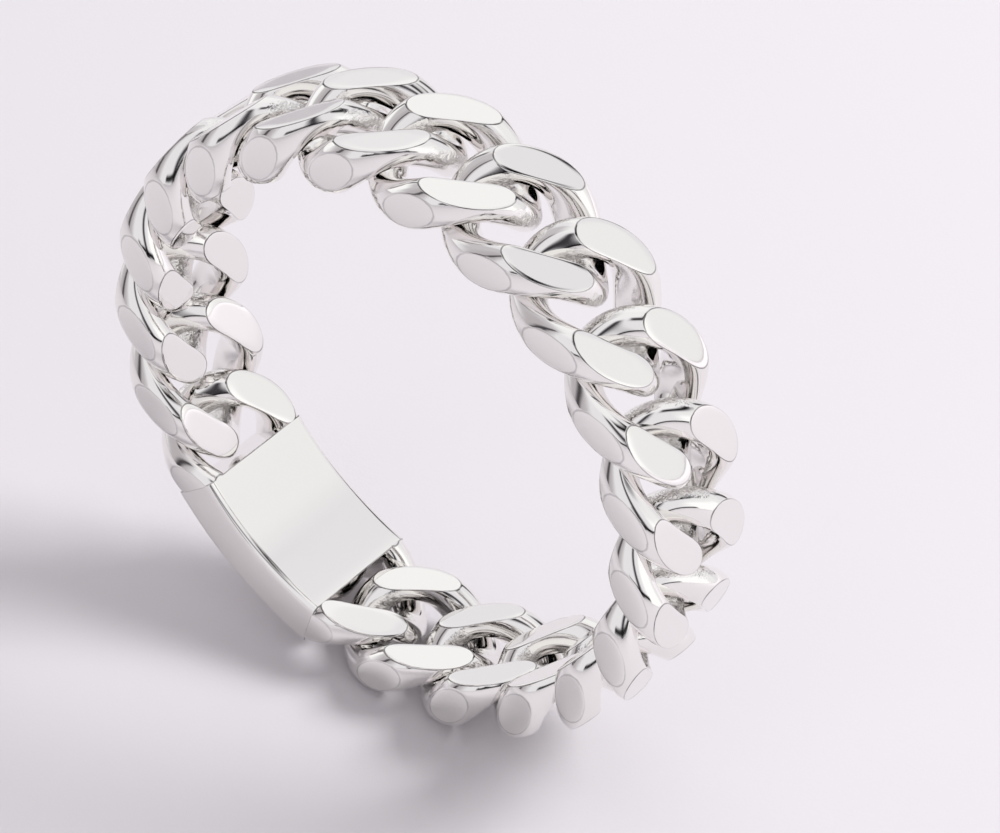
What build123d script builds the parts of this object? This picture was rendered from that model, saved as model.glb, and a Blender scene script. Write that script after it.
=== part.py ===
# Cuban link bracelet: heavy curb links, hooked through one another into a loop that a plain clasp closes.
#
# Millimetres and degrees. The middle of the loop is the origin and its axis is Y, so a wrist goes in along Y.
# One link is made lying flat, with its length along X, its ground faces at +Z and -Z and its ground sides at
# +Y and -Y. Copies of it are then set out round the loop, each with its +Z face looking away from the wrist.
from build123d import *
from math import hypot, pi
import numpy as np
import os

# The loop
POSITIONS = 21  # places, one pitch apart, for links round the whole loop
CLASP_PITCHES = 2  # pitches that the clasp's bar bridges
CLASP_ANGLE = -145.4  # the clasp's place, from straight up and towards +X

# One link
LINK_LENGTH = 19.2  # over its rounded ends
LINK_WIDTH = 15.0  # over its ground sides
LINK_THICKNESS = 6.14  # over its ground faces
SIDE_GRIND = 0.56  # metal ground off each side
TWIST = 43.5  # turn of each end of the oval about the link's length

# Room between links
HOOK_PLAY = 1.18  # slack along the chain between two hooked ends
NEXT_GAP = 0.3  # between the ends of one link and of the link after next, on a straight chain
HOOK_GAP = 0.17  # between the arms of two hooked links where they cross

# The wire's oval section at a hooked end and in the middle of an arm, as shares of the wire's width, across
# the link's own twisted plane, and of the wire's depth, square to that plane
SECTIONS = {
    "end": {"width": 1.0, "depth": 0.75},
    "arm": {"width": 0.9, "depth": 1.18},
}
EARLY_TWIST = 0.2  # share of the twist that is brought forward to the middle of the link
STATIONS = 24  # sections round one link
SIDES = 10  # corners of each section

# The clasp
CLASP_EDGE = 0.8  # rounding of the clasp's long edges
CLASP_SEAT = 0.5  # how far the clasp's half links run into its bar

# Sizes that follow. Two hooked ends, their play and the ends of both neighbours fill the inside of a link.
wire_width = (LINK_LENGTH - 2 * HOOK_PLAY - NEXT_GAP) / 4
pitch = LINK_LENGTH - 2 * wire_width - HOOK_PLAY
step = 360 / POSITIONS
loop_radius = POSITIONS * pitch / (2 * pi)
half_length = (LINK_LENGTH - wire_width) / 2
half_width = LINK_WIDTH / 2 + SIDE_GRIND - SECTIONS["arm"]["width"] * wire_width / 2


def twist_at(along):
    """Turn of the oval's plane, in radians, at a place along the link from -1 to 1."""
    return -np.radians(TWIST) * along * (1 + EARLY_TWIST * (1 - along**2))


def centre_line(turn):
    """Point on the middle line of the wire, for a turn round the oval."""
    across = half_width * np.sin(turn)
    twist = twist_at(np.cos(turn))
    return np.array([half_length * np.cos(turn), across * np.cos(twist), across * np.sin(twist)])


def wire_frame(turn):
    """Middle of the section at a turn round the oval, and the section's outward and upward directions."""
    nudge = 1e-4
    forward = centre_line(turn + nudge) - centre_line(turn - nudge)
    forward /= np.linalg.norm(forward)
    twist = twist_at(np.cos(turn))
    upward = np.array([0, -np.sin(twist), np.cos(twist)])
    upward -= forward * upward.dot(forward)
    upward /= np.linalg.norm(upward)
    return centre_line(turn), np.cross(forward, upward), upward


def half_sizes(turn, depth):
    """Half the section's width and half its depth at a turn round the oval, for a wire of this depth."""
    arm, end = SECTIONS["arm"], SECTIONS["end"]
    share = {size: end[size] + (arm[size] - end[size]) * np.sin(turn) ** 2 for size in end}
    return wire_width * share["width"] / 2, depth * share["depth"] / 2


def section(turn, depth, sides):
    """Corners of the wire's section at a turn round the oval, for a wire of this depth."""
    middle, outward, upward = wire_frame(turn)
    half_across, half_deep = half_sizes(turn, depth)
    corners = 2 * pi * (np.arange(sides) + 0.5) / sides
    across = half_across * np.outer(np.cos(corners), outward)
    return middle + across + half_deep * np.outer(np.sin(corners), upward)


def hooked_gap(depth):
    """Least gap between the wires of two hooked links of this depth, below zero where they would overlap."""
    turns = 2 * pi * np.arange(4 * STATIONS) / (4 * STATIONS)
    frames = [wire_frame(turn) for turn in turns]
    middles = np.array([middle for middle, outward, upward in frames])
    skin = np.concatenate([section(turn, depth, 2 * SIDES) for turn in turns])
    lean = np.radians(step)
    x, y, z = skin[:, 0], skin[:, 1], skin[:, 2] + loop_radius
    neighbour = np.column_stack(
        [x * np.cos(lean) + z * np.sin(lean), y, z * np.cos(lean) - x * np.sin(lean) - loop_radius]
    )
    gaps = []
    for point in neighbour:
        nearest = np.argmin(np.linalg.norm(middles - point, axis=1))
        middle, outward, upward = frames[nearest]
        offset = point - middle
        half_across, half_deep = half_sizes(turns[nearest], depth)
        reach = hypot(offset.dot(outward) / half_across, offset.dot(upward) / half_deep)
        gaps.append(np.linalg.norm(offset) * (1 - 1 / reach))
    return min(gaps)


def fitting_depth():
    """Depth of wire that leaves the hook gap between two neighbouring links, found by halving a range."""
    shallow, deep = 0.0, 2 * LINK_THICKNESS
    for _ in range(14):
        depth = (shallow + deep) / 2
        if hooked_gap(depth) > HOOK_GAP:
            shallow = depth
        else:
            deep = depth
    return shallow


def make_link(depth):
    """One twisted oval link of flat facets, ground flat on both faces and both sides."""
    rings = [section(2 * pi * (station + 0.5) / STATIONS, depth, SIDES) for station in range(STATIONS)]
    facets = []
    for ring, after in zip(rings, rings[1:] + rings[:1]):
        for corner in range(SIDES):
            beside = (corner + 1) % SIDES
            patch = [Vector(*point) for point in (ring[corner], ring[beside], after[beside], after[corner])]
            facets.append(Face(Wire.make_polygon(patch[:3])))
            facets.append(Face(Wire.make_polygon([patch[0], patch[2], patch[3]])))
    return Solid(Shell(facets)) & Box(2 * LINK_LENGTH, LINK_WIDTH, LINK_THICKNESS)


def on_loop(shape, place):
    """The shape, moved from lying flat at the origin to a place on the loop, counted from straight up."""
    return Rot(0, place * step, 0) * Pos(0, 0, loop_radius) * shape


def make_clasp(link):
    """The clasp about straight up: a curved bar with half a link at each end."""
    reach = CLASP_PITCHES * step / 2
    inside, outside = loop_radius - LINK_THICKNESS / 2, loop_radius + LINK_THICKNESS / 2
    rays = [Vector(0, 2 * outside).rotate(Axis.Z, angle) for angle in (reach, 0, -reach)]
    sector = make_face(Polyline((0, 0), *rays, close=True))
    profile = (Circle(outside) - Circle(inside)) & sector
    bar = extrude(Plane.XZ * profile, LINK_WIDTH / 2, both=True)
    clasp = fillet(bar.edges().filter_by(GeomType.CIRCLE), CLASP_EDGE)
    for side in (-1, 1):
        outer_half = Pos(side * (LINK_LENGTH - CLASP_SEAT), 0, 0) * Box(
            2 * LINK_LENGTH, 2 * LINK_WIDTH, 2 * LINK_THICKNESS
        )
        clasp += on_loop(link & outer_half, side * CLASP_PITCHES / 2)
    return clasp


wire_depth = fitting_depth()
link = make_link(wire_depth)
about_clasp = Rot(0, CLASP_ANGLE, 0)
nodes = {"clasp": about_clasp * make_clasp(link)}
first = CLASP_PITCHES // 2 + 1
for number, place in enumerate(range(first, POSITIONS - first + 1), start=1):
    nodes[f"link_{number:02d}"] = about_clasp * on_loop(link, place)

os.makedirs("parts", exist_ok=True)
for name, solid in nodes.items():
    export_step(solid, f"parts/{name}.step")
print(f"wire {wire_width:.3f} wide, {wire_depth:.3f} deep, pitch {pitch:.3f}, loop radius {loop_radius:.3f}")
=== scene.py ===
"""Cuban link bracelet in mirror-polished steel, in soft studio light.

Metres, +Z up. The middle of the loop is the origin and its axis is Y. One link is drawn lying flat, with its
length along X, its outer face at +Z and its sides at +Y and -Y, and is then set out round the loop.
"""

import logging
import math
from dataclasses import dataclass, field
from enum import Enum

import bmesh
import bpy
from mathutils import Matrix, Vector

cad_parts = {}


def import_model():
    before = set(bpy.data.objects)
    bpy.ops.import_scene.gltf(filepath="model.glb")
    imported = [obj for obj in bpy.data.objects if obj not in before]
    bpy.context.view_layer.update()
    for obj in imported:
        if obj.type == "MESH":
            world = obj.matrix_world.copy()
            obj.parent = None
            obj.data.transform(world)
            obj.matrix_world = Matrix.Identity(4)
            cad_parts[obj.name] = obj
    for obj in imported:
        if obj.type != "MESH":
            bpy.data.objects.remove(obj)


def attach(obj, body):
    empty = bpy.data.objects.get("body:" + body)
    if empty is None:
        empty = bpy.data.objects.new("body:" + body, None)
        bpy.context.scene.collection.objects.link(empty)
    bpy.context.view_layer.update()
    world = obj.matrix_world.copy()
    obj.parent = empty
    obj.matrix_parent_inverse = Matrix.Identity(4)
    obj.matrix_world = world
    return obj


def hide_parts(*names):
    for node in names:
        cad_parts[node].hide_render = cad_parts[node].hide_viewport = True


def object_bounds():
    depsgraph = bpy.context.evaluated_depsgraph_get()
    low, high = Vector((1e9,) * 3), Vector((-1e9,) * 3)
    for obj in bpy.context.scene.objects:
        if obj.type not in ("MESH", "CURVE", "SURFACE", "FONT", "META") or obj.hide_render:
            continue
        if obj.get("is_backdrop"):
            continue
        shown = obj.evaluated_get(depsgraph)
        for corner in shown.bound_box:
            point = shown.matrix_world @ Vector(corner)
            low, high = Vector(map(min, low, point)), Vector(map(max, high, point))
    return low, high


MM = 0.001
ROOT = "root"
CAST_SKIN = "cast_skin"  # share of the casting's pitted skin that a place keeps
PAINTED_RIM_SHADE = "painted_rim_shade"  # how near a place is to the rim of a ground face, which sets the painted dark line of shade there
FACING = "facing"  # the way that the skin faces
log = logging.getLogger("bracelet")


def linear(colour: str, strength: float = 1.0) -> tuple[float, float, float, float]:
    """Turns an sRGB hex colour into the linear colour that Blender's sockets take.

    Args:
        colour: six hex digits after a hash.
        strength: factor on the linear colour.

    Returns:
        Linear red, green and blue, and an alpha of 1.
    """
    shares = [int(colour[i : i + 2], 16) / 255 for i in (1, 3, 5)]
    red, green, blue = (s / 12.92 if s <= 0.04045 else ((s + 0.055) / 1.055) ** 2.4 for s in shares)
    return red * strength, green * strength, blue * strength, 1.0


def add_node(
    tree: bpy.types.NodeTree, kind: str, inputs: dict | None = None, **settings: object
) -> bpy.types.Node:
    """Adds a node with its settings and links.

    Args:
        tree: node tree that gets the node.
        kind: Blender's name for the kind of node.
        inputs: each input's name or number, with its value or the socket that feeds it.
        **settings: values of the node's own properties.

    Returns:
        The new node.
    """
    node = tree.nodes.new(kind)
    for name, value in settings.items():
        setattr(node, name, value)
    for name, value in (inputs or {}).items():
        if isinstance(value, bpy.types.NodeSocket):
            tree.links.new(value, node.inputs[name])
        else:
            node.inputs[name].default_value = value
    return node


def ease(value: float, low: float, high: float) -> float:
    """Smooth step from 0 where the value is low to 1 where it is high."""
    share = min(max((value - low) / (high - low), 0.0), 1.0)
    return share * share * (3 - 2 * share)


@dataclass(frozen=True)
class PolishedSteel:
    """Stainless steel 316L: cast links, ground flat and buffed to a mirror with a rouge wheel.

    Buffing leaves a bright, faintly wavy skin with hair-fine lines. The wheel can't reach the inside of a
    hooked end, which keeps the pitted skin of the casting. The rims of the ground faces carry painted dark
    lines, which stand in for the shade that the rounded rims mirror.
    """

    colour: str = "#F4F2F0"
    buffed_roughness: float = 0.055
    smudged_roughness: float = 0.1
    smudge_size: float = 5.0 * MM
    smudge_range: tuple[float, float] = (0.35, 0.7)  # levels of the noise that are clean and smudged
    wave_size: float = 5.0 * MM
    wave_height: float = 0.008 * MM
    line_spacing: float = 0.12 * MM  # real buffing lines are ten times finer and wouldn't show
    line_stretch: float = 0.06  # how much slower the lines change along a link than across it
    line_height: float = 0.0003 * MM
    cast_roughness: float = 0.2
    cast_grain: float = 0.8 * MM  # real pits are four times finer and wouldn't show
    cast_height: float = 0.35 * MM
    # Colour of the painted dark lines along the rims: painted shade that stands in for what the rounded rims
    # mirror.
    painted_shade_colour: str = "#1F1C1F"
    painted_shade_start: float = 0.35  # how near to the middle of a rim the painted shade starts
    painted_shade_patch: float = 3.0 * MM
    painted_shade_range: tuple[float, float] = (0.35, 0.65)  # levels of the noise where the painted shade fades most and is full
    painted_shade_least: float = 0.35  # share of the painted shade that is left where the noise fades it most

    def material(self) -> bpy.types.Material:
        """Builds the steel.

        Returns:
            The material.
        """
        steel = bpy.data.materials.new("polished_stainless_steel")
        steel.use_nodes = True
        tree = steel.node_tree
        shader = tree.nodes["Principled BSDF"]
        shader.inputs["Metallic"].default_value = 1.0
        place = add_node(tree, "ShaderNodeTexCoord").outputs["Object"]
        cast = add_node(tree, "ShaderNodeAttribute", attribute_name=CAST_SKIN).outputs["Fac"]
        tree.links.new(self.colour_with_painted_shade(tree, place), shader.inputs["Base Color"])
        tree.links.new(self.gloss(tree, place, cast), shader.inputs["Roughness"])
        tree.links.new(self.relief(tree, place, cast), shader.inputs["Normal"])
        return steel

    def colour_with_painted_shade(self, tree: bpy.types.NodeTree, place: bpy.types.NodeSocket) -> bpy.types.NodeSocket:
        """Gives the steel's colour, with painted dark lines of shade, which come and go along the rims.

        Args:
            tree: the steel's node tree.
            place: the place on the piece.

        Returns:
            The colour.
        """
        rim = add_node(tree, "ShaderNodeAttribute", attribute_name=PAINTED_RIM_SHADE).outputs["Fac"]
        fine = {"Value": rim, "From Min": self.painted_shade_start, "From Max": 1.0}
        line = add_node(tree, "ShaderNodeMapRange", fine).outputs[0]
        patches = {"Vector": place, "Scale": 1 / self.painted_shade_patch, "Detail": 1.0}
        patch = add_node(tree, "ShaderNodeTexNoise", patches).outputs["Fac"]
        worn, whole = self.painted_shade_range
        ends = {"To Min": self.painted_shade_least, "To Max": 1.0}
        left = {"Value": patch, "From Min": worn, "From Max": whole, **ends}
        shade_strength = add_node(tree, "ShaderNodeMapRange", left).outputs[0]
        share = add_node(tree, "ShaderNodeMath", {0: line, 1: shade_strength}, operation="MULTIPLY").outputs[0]
        # Mixes the painted dark rim shade into the steel's colour.
        colours = {0: share, 6: linear(self.colour), 7: linear(self.painted_shade_colour)}
        return add_node(tree, "ShaderNodeMix", colours, data_type="RGBA").outputs[2]

    def gloss(
        self, tree: bpy.types.NodeTree, place: bpy.types.NodeSocket, cast: bpy.types.NodeSocket
    ) -> bpy.types.NodeSocket:
        """Gives the steel's roughness: a mirror with faint smudges, duller on the casting's own skin.

        Args:
            tree: the steel's node tree.
            place: the place on the piece.
            cast: how much of the casting's skin is left there.

        Returns:
            The roughness.
        """
        smudges = {"Vector": place, "Scale": 1 / self.smudge_size, "Detail": 3.0}
        smudge = add_node(tree, "ShaderNodeTexNoise", smudges).outputs["Fac"]
        clean, smudged = self.smudge_range
        ends = {"To Min": self.buffed_roughness, "To Max": self.smudged_roughness}
        limits = {"Value": smudge, "From Min": clean, "From Max": smudged, **ends}
        buffed = add_node(tree, "ShaderNodeMapRange", limits).outputs[0]
        skins = {"Factor": cast, "A": buffed, "B": self.cast_roughness}
        return add_node(tree, "ShaderNodeMix", skins, data_type="FLOAT").outputs[0]

    def relief(
        self, tree: bpy.types.NodeTree, place: bpy.types.NodeSocket, cast: bpy.types.NodeSocket
    ) -> bpy.types.NodeSocket:
        """Gives the steel's fine relief: the wheel's waves and hair-fine lines, and the casting's pits.

        Args:
            tree: the steel's node tree.
            place: the place on the piece.
            cast: how much of the casting's skin is left there.

        Returns:
            The way that the skin faces.
        """
        wave = {"Vector": place, "Scale": 1 / self.wave_size, "Detail": 0.0}
        stretched = {"Vector": place, "Scale": (self.line_stretch, 1.0, 1.0)}
        along = add_node(tree, "ShaderNodeMapping", stretched).outputs[0]
        line = {"Vector": along, "Scale": 1 / self.line_spacing, "Detail": 2.0}
        pit = {"Vector": place, "Scale": 1 / self.cast_grain, "Detail": 3.0, "Roughness": 0.6}
        layers = ((wave, self.wave_height, 1.0), (line, self.line_height, 1.0), (pit, self.cast_height, cast))
        below = {}
        for noise, height, strength in layers:
            level = add_node(tree, "ShaderNodeTexNoise", noise).outputs["Fac"]
            bump = {"Height": level, "Distance": height, "Strength": strength, **below}
            below = {"Normal": add_node(tree, "ShaderNodeBump", bump).outputs["Normal"]}
        return below["Normal"]


@dataclass(frozen=True)
class CoatedPaper:
    """Matt coated paper in a pale lilac grey, laid flat under the bracelet.

    The coating scatters the light evenly, so that the paper shows soft shadows and no glare.
    """

    colour: str = "#D3CFD3"
    roughness: float = 0.85
    fibre_size: float = 0.4 * MM  # real fibres are ten times finer and wouldn't show
    fibre_height: float = 0.01 * MM

    def material(self) -> bpy.types.Material:
        """Builds the paper.

        Returns:
            The material.
        """
        paper = bpy.data.materials.new("coated_paper")
        paper.use_nodes = True
        tree = paper.node_tree
        shader = tree.nodes["Principled BSDF"]
        shader.inputs["Base Color"].default_value = linear(self.colour)
        shader.inputs["Roughness"].default_value = self.roughness
        place = add_node(tree, "ShaderNodeTexCoord").outputs["Object"]
        fibres = {"Vector": place, "Scale": 1 / self.fibre_size, "Detail": 2.0}
        fibre = add_node(tree, "ShaderNodeTexNoise", fibres).outputs["Fac"]
        bump = add_node(tree, "ShaderNodeBump", {"Height": fibre, "Distance": self.fibre_height})
        tree.links.new(bump.outputs["Normal"], shader.inputs["Normal"])
        return paper


class End(Enum):
    """The two ends of the clasp, by their side along X."""

    TRAILING = -1
    LEADING = 1


def drawing() -> bmesh.types.BMesh:
    """Starts a mesh with a layer for each thing that the finish needs to know of a place.

    Returns:
        The empty mesh.
    """
    mesh = bmesh.new()
    for layer in (CAST_SKIN, PAINTED_RIM_SHADE):
        mesh.verts.layers.float.new(layer)
    mesh.verts.layers.float_vector.new(FACING)
    return mesh


def finished(mesh: bmesh.types.BMesh, name: str, finish: bpy.types.Material) -> bpy.types.Mesh:
    """Turns a drawn mesh into one that is shaded by the ways that its skin faces.

    Args:
        mesh: the drawn mesh, which is freed.
        name: the new mesh's name.
        finish: its material.

    Returns:
        The new mesh.
    """
    facing = mesh.verts.layers.float_vector[FACING]
    normals = [tuple(vertex[facing].normalized()) for vertex in mesh.verts]
    data = bpy.data.meshes.new(name)
    mesh.to_mesh(data)
    mesh.free()
    data.shade_smooth()
    data.normals_split_custom_set_from_vertices(normals)
    data.materials.append(finish)
    return data


@dataclass
class Link:
    """One heavy curb link: a twisted oval of wire, ground flat on both faces and both sides, and buffed."""

    length: float = 19.2 * MM
    width: float = 15.0 * MM
    thickness: float = 6.14 * MM
    side_grind: float = 0.56 * MM
    wire_width: float = 4.135 * MM
    wire_depth: float = 4.426 * MM
    twist: float = 43.5
    early_twist: float = 0.2
    end_shares: tuple[float, float] = (1.0, 0.75)  # of the wire's width and depth, at a hooked end
    arm_shares: tuple[float, float] = (0.9, 1.18)  # the same, in the middle of an arm
    edge_round: float = 0.3 * MM  # where a ground face meets a ground side
    rim_depth: float = 0.12 * MM  # how far buffing wears a rim away, on each side of it
    roll_depth: float = 1.1 * MM  # how deep in the wire's skin a ground face is before it is truly flat
    roll_share: float = 0.19  # how much of the wire's slope the wheel leaves along the rims
    side_shade: float = 0.6  # how much painted shade the rims of the sides take, against those of the faces
    tip_round: tuple[float, float] = (0.85, 0.98)  # outward: where the casting's skin starts and is whole
    tip_along: tuple[float, float] = (0.8, 0.97)  # the same, from the middle of an arm to a hooked end
    hook_round: tuple[float, float] = (0.5, 0.85)  # inward: where it starts and is whole
    hook_along: tuple[float, float] = (0.55, 0.85)  # the same, from the middle of an arm to a hooked end
    stations: int = 160
    sides: int = 48
    half_length: float = field(init=False)
    half_width: float = field(init=False)

    def __post_init__(self) -> None:
        """Works out the half axes of the wire's middle line."""
        self.half_length = (self.length - self.wire_width) / 2
        self.half_width = self.width / 2 + self.side_grind - self.arm_shares[0] * self.wire_width / 2

    def twist_at(self, turn: float) -> float:
        """Turn of the oval's plane about the link's length, in radians, at a turn round the oval."""
        along = math.cos(turn)
        return -math.radians(self.twist) * along * (1 + self.early_twist * (1 - along**2))

    def centre_line(self, turn: float) -> Vector:
        """Point on the wire's middle line at a turn round the oval."""
        across, twist = self.half_width * math.sin(turn), self.twist_at(turn)
        return Vector((self.half_length * math.cos(turn), across * math.cos(twist), across * math.sin(twist)))

    def section(self, turn: float) -> list[tuple[Vector, float]]:
        """Gives the wire's oval section at a turn round the oval.

        Args:
            turn: turn round the oval, in radians, from the leading end.

        Returns:
            Each corner of the section, with how much of the casting's skin it keeps, from 0 to 1.
        """
        nudge = 1e-4
        middle, twist = self.centre_line(turn), self.twist_at(turn)
        forward = (self.centre_line(turn + nudge) - self.centre_line(turn - nudge)).normalized()
        upward = Vector((0, -math.sin(twist), math.cos(twist)))
        upward = (upward - forward * upward.dot(forward)).normalized()
        outward = forward.cross(upward)
        arm = math.sin(turn) ** 2
        half_across, half_deep = (
            size / 2 * (end + (side - end) * arm)
            for size, end, side in zip((self.wire_width, self.wire_depth), self.end_shares, self.arm_shares)
        )
        corners = []
        for corner in range(self.sides):
            angle = 2 * math.pi * (corner + 0.5) / self.sides
            across, deep = half_across * math.cos(angle), half_deep * math.sin(angle)
            tip = ease(math.cos(angle), *self.tip_round) * ease(1 - arm, *self.tip_along)
            hook = ease(-math.cos(angle), *self.hook_round) * ease(1 - arm, *self.hook_along)
            corners.append((middle + outward * across + upward * deep, max(tip, hook)))
        return corners

    def wire(self) -> bmesh.types.BMesh:
        """Draws the twisted oval of wire, before it is ground.

        Returns:
            The wire's mesh.
        """
        mesh = drawing()
        cast = mesh.verts.layers.float[CAST_SKIN]
        rings = []
        for station in range(self.stations):
            ring = []
            for point, skin in self.section(2 * math.pi * (station + 0.5) / self.stations):
                vertex = mesh.verts.new(point)
                vertex[cast] = skin
                ring.append(vertex)
            rings.append(ring)
        for ring, after in zip(rings, rings[1:] + rings[:1]):
            for corner in range(self.sides):
                beside = (corner + 1) % self.sides
                mesh.faces.new((ring[corner], ring[beside], after[beside], after[corner]))
        bmesh.ops.recalc_face_normals(mesh, faces=mesh.faces)
        return mesh

    def ground(self, place: Vector, facing: Vector) -> tuple[Vector, Vector, float, float]:
        """Grinds and buffs one place on the wire's skin.

        Args:
            place: the place.
            facing: the way that the skin faces there.

        Returns:
            Where the skin ends up, the way that it then faces, and, from 0 to 1, how strongly the painted
            dark line of shade along a rim shows there and how much of the wire's own skin is left.
        """
        past = Vector((0, 0, 0))
        for axis, size in ((1, self.width), (2, self.thickness)):
            inside = size / 2 - self.edge_round
            past[axis] = math.copysign(max(abs(place[axis]) - inside, 0), place[axis])
        worn = (past.length - self.edge_round + self.rim_depth) / (2 * self.rim_depth)
        worn = min(max(worn, 0.0), 1.0)
        if worn == 0:
            return place, facing, 0.0, 1.0
        way = past.normalized()
        reach = self.edge_round - self.rim_depth * (1 - worn) ** 2
        flat = way * facing.dot(way)
        rolled = 1 - ease(past.length, self.edge_round, self.edge_round + self.roll_depth)
        slope = (1 - worn) * (1 - self.roll_share) + self.roll_share * rolled
        # Strength of the painted dark line of shade along this rim: strongest halfway round the rounding,
        # fainter on the sides.
        rim = 4 * worn * (1 - worn) * (self.side_shade + (1 - self.side_shade) * abs(way.z))
        return place - past + way * reach, flat + (facing - flat) * slope, rim, 1 - worn

    def blank(self) -> bmesh.types.BMesh:
        """Draws the whole link, ground and buffed.

        Returns:
            The link's mesh, lying flat.
        """
        mesh = self.wire()
        for way, size in ((Vector((0, 1, 0)), self.width), (Vector((0, 0, 1)), self.thickness)):
            levels = [size / 2 + self.rim_depth * step for step in (-1, 0, 1)]
            for level in levels + [-level for level in levels]:
                everything = mesh.verts[:] + mesh.edges[:] + mesh.faces[:]
                bmesh.ops.bisect_plane(mesh, geom=everything, plane_co=way * level, plane_no=way, dist=1e-8)
        mesh.normal_update()
        # The rim layer takes the strength of the painted shade along the rims.
        cast, rim = (mesh.verts.layers.float[name] for name in (CAST_SKIN, PAINTED_RIM_SHADE))
        facing = mesh.verts.layers.float_vector[FACING]
        for vertex in mesh.verts:
            vertex.co, vertex[facing], vertex[rim], left = self.ground(vertex.co.copy(), vertex.normal.copy())
            vertex[cast] *= left
        return mesh


@dataclass
class Clasp:
    """The plain clasp: a curved bar with half a link at each end."""

    link: Link
    loop_radius: float
    reach: float  # half the angle that the bar bridges, in radians
    edge_round: float = 0.8 * MM  # along the bar
    rim_round: float = 0.16 * MM  # round each end of the bar
    seat: float = 0.18 * MM  # how far a half link runs into the bar
    stations: int = 48
    corner_steps: int = 8
    rim_steps: int = 4

    def outline(self, inset: float) -> list[tuple[Vector, Vector]]:
        """Gives the bar's section, with its width along Y and its thickness along Z.

        Args:
            inset: how far the section is drawn in all round.

        Returns:
            Each corner of the section, with the way that the skin faces there.
        """
        half_width = self.link.width / 2 - self.edge_round
        half_deep = self.link.thickness / 2 - self.edge_round
        corners = []
        for quarter, (across, deep) in enumerate(((1, 1), (-1, 1), (-1, -1), (1, -1))):
            for step in range(self.corner_steps + 1):
                angle = math.pi / 2 * (quarter + step / self.corner_steps)
                way = Vector((0, math.cos(angle), math.sin(angle)))
                middle = Vector((0, across * half_width, deep * half_deep))
                corners.append((middle + way * (self.edge_round - inset), way))
        return corners

    def rows(self) -> list[tuple[float, float]]:
        """Sets out the rings of the bar, close together where its ends are rounded.

        Returns:
            Each ring's angle round the loop, and its bend from the bar's skin to the end's flat.
        """
        bends = [math.pi / 2 * step / self.rim_steps for step in range(self.rim_steps + 1)]
        corner = self.rim_round / self.loop_radius
        rim = [(self.reach - corner * (1 - math.sin(bend)), bend) for bend in bends]
        start = rim[0][0]
        between = [(start * (2 * step / self.stations - 1), 0.0) for step in range(1, self.stations)]
        return [(-angle, bend) for angle, bend in reversed(rim)] + between + rim

    def bar(self) -> bmesh.types.BMesh:
        """Draws the curved bar, with its middle straight up.

        Returns:
            The bar's mesh.
        """
        mesh = drawing()
        rim_shade_layer, facing = mesh.verts.layers.float[PAINTED_RIM_SHADE], mesh.verts.layers.float_vector[FACING]
        rings = []
        for angle, bend in self.rows():
            turn = Matrix.Rotation(angle, 3, "Y")
            endward = Vector((math.copysign(1, angle), 0, 0))
            ring = []
            for corner, way in self.outline(self.rim_round * (1 - math.cos(bend))):
                vertex = mesh.verts.new(turn @ (corner + Vector((0, 0, self.loop_radius))))
                vertex[facing] = turn @ (way * math.cos(bend) + endward * math.sin(bend))
                # Painted dark line of shade round each end of the bar, strongest halfway round the bend.
                vertex[rim_shade_layer] = math.sin(2 * bend)
                ring.append(vertex)
            rings.append(ring)
        for ring, after in zip(rings, rings[1:]):
            for corner, vertex in enumerate(ring):
                beside = (corner + 1) % len(ring)
                mesh.faces.new((vertex, ring[beside], after[beside], after[corner]))
        mesh.faces.new(rings[0])
        mesh.faces.new(list(reversed(rings[-1])))
        bmesh.ops.recalc_face_normals(mesh, faces=mesh.faces)
        return mesh

    def half_link(self, end: End) -> bmesh.types.BMesh:
        """Draws the half link at one end of the bar.

        Args:
            end: which end of the bar it stands on.

        Returns:
            The outer half of a link, in its place on the bar.
        """
        mesh = self.link.blank()
        inward = Vector((-end.value, 0, 0))
        everything = mesh.verts[:] + mesh.edges[:] + mesh.faces[:]
        bmesh.ops.bisect_plane(
            mesh, geom=everything, plane_co=inward * self.seat, plane_no=inward, clear_outer=True, dist=1e-8
        )
        turn = Matrix.Rotation(end.value * self.reach, 3, "Y")
        lift = Vector((0, 0, self.loop_radius))
        facing = mesh.verts.layers.float_vector[FACING]
        for vertex in mesh.verts:
            vertex.co = turn @ (vertex.co + lift)
            vertex[facing] = turn @ vertex[facing]
        return mesh

    def shape(self, finish: bpy.types.Material) -> bpy.types.Mesh:
        """Joins the bar and its two half links.

        Args:
            finish: the clasp's material.

        Returns:
            One mesh of the whole clasp.
        """
        pieces = [finished(self.bar(), "clasp_bar", finish)]
        pieces += [finished(self.half_link(end), f"clasp_{end.name.lower()}_half", finish) for end in End]
        objects = [bpy.data.objects.new(piece.name, piece) for piece in pieces]
        for part in objects:
            bpy.context.scene.collection.objects.link(part)
        with bpy.context.temp_override(active_object=objects[0], selected_editable_objects=objects):
            bpy.ops.object.join()
        whole = objects[0].data
        bpy.data.objects.remove(objects[0])
        whole.name = "clasp"
        return whole


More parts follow.
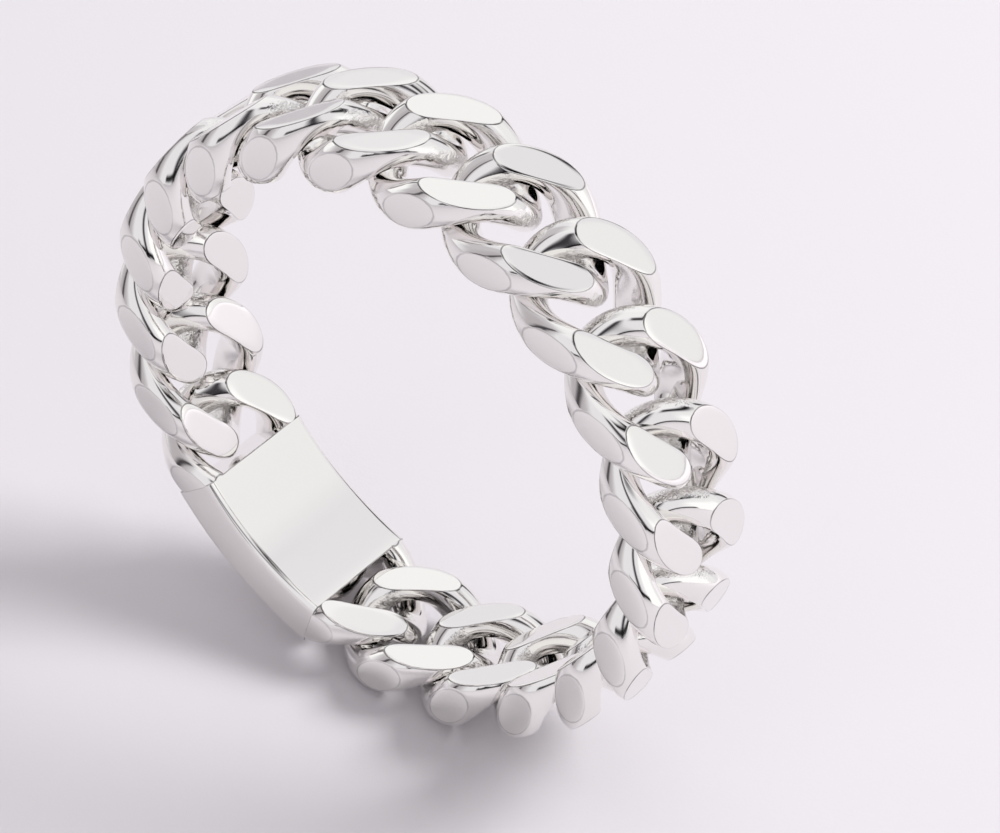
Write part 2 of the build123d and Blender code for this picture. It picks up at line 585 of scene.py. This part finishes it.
@dataclass
class Bracelet:
    """The whole loop: links from one side of the clasp round to the other, and the clasp."""

    link: Link = field(default_factory=Link)
    positions: int = 21
    clasp_pitches: int = 2
    clasp_angle: float = -145.4
    pitch: float = 9.75 * MM
    slot: str = "polished_steel"

    def place(self, position: float) -> Matrix:
        """Gives the place of a piece on the loop.

        Args:
            position: count of pitches round from the clasp's middle.

        Returns:
            The move from lying flat at the origin to that place.
        """
        angle = math.radians(self.clasp_angle + position * 360 / self.positions)
        return Matrix.Rotation(angle, 4, "Y")

    def add(self, name: str, shape: bpy.types.Mesh, place: Matrix) -> bpy.types.Object:
        """Adds one piece in place of the plain solid of the same name.

        Args:
            name: name of the node that it stands for.
            shape: its mesh.
            place: where it goes.

        Returns:
            The new object.
        """
        piece = bpy.data.objects.new(f"{name}_polished", shape)
        bpy.context.scene.collection.objects.link(piece)
        piece.matrix_world = place
        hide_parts(name)
        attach(piece, ROOT)
        log.info("%s: %d faces", piece.name, len(shape.polygons))
        return piece

    def build(self, finish: bpy.types.Material) -> None:
        """Builds every link and the clasp.

        Args:
            finish: the metal's material.
        """
        loop_radius = self.positions * self.pitch / (2 * math.pi)
        lift = Matrix.Translation((0, 0, loop_radius))
        shape = finished(self.link.blank(), "link", finish)
        first = self.clasp_pitches // 2 + 1
        for number, position in enumerate(range(first, self.positions - first + 1), start=1):
            self.add(f"link_{number:02d}", shape, self.place(position) @ lift)
        reach = math.radians(self.clasp_pitches * 360 / self.positions / 2)
        clasp = Clasp(self.link, loop_radius, reach)
        self.add("clasp", clasp.shape(finish), self.place(0))


@dataclass(frozen=True)
class Softbox:
    """A wide soft light, aimed at the bracelet."""

    name: str
    azimuth: float
    elevation: float
    distance: float
    width: float
    height: float
    power: float
    colour: str = "#FFFFFF"


def towards(azimuth: float, elevation: float) -> Vector:
    """Direction from the bracelet, where azimuth 0 is -Y and 90 is +X, and elevation is from the floor."""
    turn, rise = math.radians(azimuth), math.radians(elevation)
    return Vector((math.sin(turn) * math.cos(rise), -math.cos(turn) * math.cos(rise), math.sin(rise)))


@dataclass(frozen=True)
class Panel:
    """A soft-edged patch of the light tent round the bracelet: a brighter cloth, or a gap that shows dark.

    Its middle, half sizes and edge are in degrees, as seen from the bracelet.
    """

    name: str
    azimuth: float
    elevation: float
    half_width: float
    half_height: float
    colour: str
    edge: float
    strength: float = 1.0
    slant: float = 0.0  # degrees round the room for each degree of rise

    def spread(
        self, tree: bpy.types.NodeTree, angle: bpy.types.NodeSocket, middle: float, half: float
    ) -> bpy.types.NodeSocket:
        """Gives how far a direction lies inside the panel, along one of its two ways.

        Args:
            tree: the tent's node tree.
            angle: the direction's angle along that way, in radians.
            middle: the panel's middle, in degrees.
            half: half its size, in degrees.

        Returns:
            A share from 0 outside to 1 inside.
        """
        apart = add_node(tree, "ShaderNodeMath", {0: angle, 1: math.radians(middle)}, operation="SUBTRACT")
        wrap = {0: apart.outputs[0], 1: math.pi, 2: -math.pi}
        turned = add_node(tree, "ShaderNodeMath", wrap, operation="WRAP")
        size = add_node(tree, "ShaderNodeMath", {0: turned.outputs[0]}, operation="ABSOLUTE")
        start, stop = math.radians(half - self.edge / 2), math.radians(half + self.edge / 2)
        fade = {"Value": size.outputs[0], "From Min": start, "From Max": stop, "To Min": 1.0, "To Max": 0.0}
        return add_node(tree, "ShaderNodeMapRange", fade, interpolation_type="SMOOTHSTEP").outputs[0]

    def hang(
        self,
        tree: bpy.types.NodeTree,
        colour: bpy.types.NodeSocket,
        azimuth: bpy.types.NodeSocket,
        elevation: bpy.types.NodeSocket,
    ) -> bpy.types.NodeSocket:
        """Hangs the panel over what the tent shows so far.

        Args:
            tree: the tent's node tree.
            colour: what the tent shows so far.
            azimuth: the direction's angle round the room, in radians.
            elevation: its angle above the floor, in radians.

        Returns:
            The tent's colour with the panel in it.
        """
        lean = {0: elevation, 1: -self.slant, 2: azimuth}
        leaned = add_node(tree, "ShaderNodeMath", lean, operation="MULTIPLY_ADD").outputs[0]
        middle = self.azimuth - self.slant * self.elevation
        across = self.spread(tree, leaned, middle, self.half_width)
        along = self.spread(tree, elevation, self.elevation, self.half_height)
        share = add_node(tree, "ShaderNodeMath", {0: across, 1: along}, operation="MULTIPLY").outputs[0]
        cloth = linear(self.colour, self.strength)
        mixed = add_node(tree, "ShaderNodeMix", {0: share, 6: colour, 7: cloth}, data_type="RGBA")
        return mixed.outputs[2]


@dataclass
class Studio:
    """The pale floor, the soft light, the tent and the camera."""

    floor_size: float = 4.0
    floor_gap: float = 0.05 * MM
    camera_azimuth: float = 38.688
    camera_elevation: float = 40.489
    camera_distance: float = 449.2 * MM
    camera_aim: tuple[float, float, float] = (6.73 * MM, 4.49 * MM, -0.78 * MM)
    camera_lens: float = 158.58
    camera_range: tuple[float, float] = (0.01, 20.0)
    tent_colour: str = "#EEEDF0"
    softboxes: tuple[Softbox, ...] = (
        Softbox("key", azimuth=138, elevation=44, distance=1.3, width=0.55, height=0.55, power=15),
    )
    panels: tuple[Panel, ...] = (
        Panel("ceiling", 0, 85, 180, 22, "#FAF9FB", edge=20),
        Panel("left_shade", -62, 42, 36, 30, "#CBC8CB", edge=20),
        Panel("back_cloth", -152, 52, 28, 25, "#FFFFFF", edge=14),
        Panel("right_cloth", 102, 22, 42, 24, "#FFFFFF", strength=0.93, edge=14),
        Panel("window", 90, 12, 30, 18, "#FFFFFF", strength=1.12, edge=16),
        Panel("left_cloth", -95, 6, 22, 18, "#FFFFFF", strength=1.05, edge=12),
        Panel("front_left_wall", -42, 14, 18, 42, "#BDB8BB", edge=20),
        Panel("front_left_gap", -40, 15, 4, 46, "#454246", edge=7, slant=0.2),
        Panel("back_gap", 180, 16, 6, 26, "#2E2B2F", edge=10),
        Panel("left_gap", -104, 20, 4, 18, "#4A474B", edge=7),
        Panel("right_top_gap", 92, 60, 52, 7, "#0D0C0E", edge=12),
        Panel("camera_gap", 31, 22, 6.5, 38, "#38353A", edge=11, slant=-0.32),
        Panel("horizon_gap", 34, 3.5, 32, 3, "#0D0C0E", edge=4),
    )

    def lay_floor(self, level: float, finish: bpy.types.Material) -> None:
        """Lays the floor under the bracelet.

        Args:
            level: height of the bracelet's lowest point.
            finish: the floor's material.
        """
        mesh = bmesh.new()
        bmesh.ops.create_grid(mesh, x_segments=8, y_segments=8, size=self.floor_size / 2)
        data = bpy.data.meshes.new("floor")
        mesh.to_mesh(data)
        mesh.free()
        data.materials.append(finish)
        floor = bpy.data.objects.new("floor", data)
        floor.location.z = level - self.floor_gap
        bpy.context.scene.collection.objects.link(floor)
        floor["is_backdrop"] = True

    def hang_lights(self) -> None:
        """Hangs the softboxes, which the metal doesn't mirror, because the tent gives all that it mirrors."""
        for box in self.softboxes:
            light = bpy.data.lights.new(box.name, "AREA")
            light.shape = "RECTANGLE"
            light.size, light.size_y = box.width, box.height
            light.energy = box.power
            light.color = linear(box.colour)[:3]
            lamp = bpy.data.objects.new(box.name, light)
            way = towards(box.azimuth, box.elevation)
            lamp.location = way * box.distance
            lamp.rotation_euler = way.to_track_quat("Z", "Y").to_euler()
            lamp.visible_camera = False
            lamp.visible_glossy = False
            bpy.context.scene.collection.objects.link(lamp)
            log.info("%s: %.1f W", box.name, box.power)

    def fill_room(self) -> None:
        """Fills the room with a pale tent, whose panels and gaps the metal mirrors."""
        world = bpy.data.worlds.new("light_tent")
        bpy.context.scene.world = world
        world.use_nodes = True
        tree = world.node_tree
        place = add_node(tree, "ShaderNodeTexCoord").outputs["Generated"]
        axes = add_node(tree, "ShaderNodeSeparateXYZ", {0: place}).outputs
        front = add_node(tree, "ShaderNodeMath", {0: axes["Y"], 1: -1.0}, operation="MULTIPLY").outputs[0]
        azimuth = add_node(tree, "ShaderNodeMath", {0: axes["X"], 1: front}, operation="ARCTAN2").outputs[0]
        elevation = add_node(tree, "ShaderNodeMath", {0: axes["Z"]}, operation="ARCSINE").outputs[0]
        colour = add_node(tree, "ShaderNodeRGB").outputs[0]
        colour.default_value = linear(self.tent_colour)
        for panel in self.panels:
            colour = panel.hang(tree, colour, azimuth, elevation)
            log.info("%s: at %.0f, %.0f degrees", panel.name, panel.azimuth, panel.elevation)
        tree.links.new(colour, tree.nodes["Background"].inputs["Color"])

    def set_camera(self) -> None:
        """Sets up the camera in front of, above and to the right of the loop."""
        data = bpy.data.cameras.new("camera")
        data.lens = self.camera_lens
        data.clip_start, data.clip_end = self.camera_range
        camera = bpy.data.objects.new("camera", data)
        back = towards(self.camera_azimuth, self.camera_elevation)
        camera.location = Vector(self.camera_aim) + back * self.camera_distance
        camera.rotation_euler = back.to_track_quat("Z", "Y").to_euler()
        bpy.context.scene.collection.objects.link(camera)
        bpy.context.scene.camera = camera
        bpy.context.scene.view_settings.view_transform = "Standard"


def main() -> None:
    """Builds the bracelet and its studio."""
    logging.basicConfig(level=logging.INFO, format="%(name)s: %(message)s")
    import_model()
    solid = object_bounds()
    Bracelet().build(PolishedSteel().material())
    studio = Studio()
    studio.lay_floor(solid[0].z, CoatedPaper().material())
    studio.hang_lights()
    studio.fill_room()
    studio.set_camera()


if __name__ == "__main__":
    main()
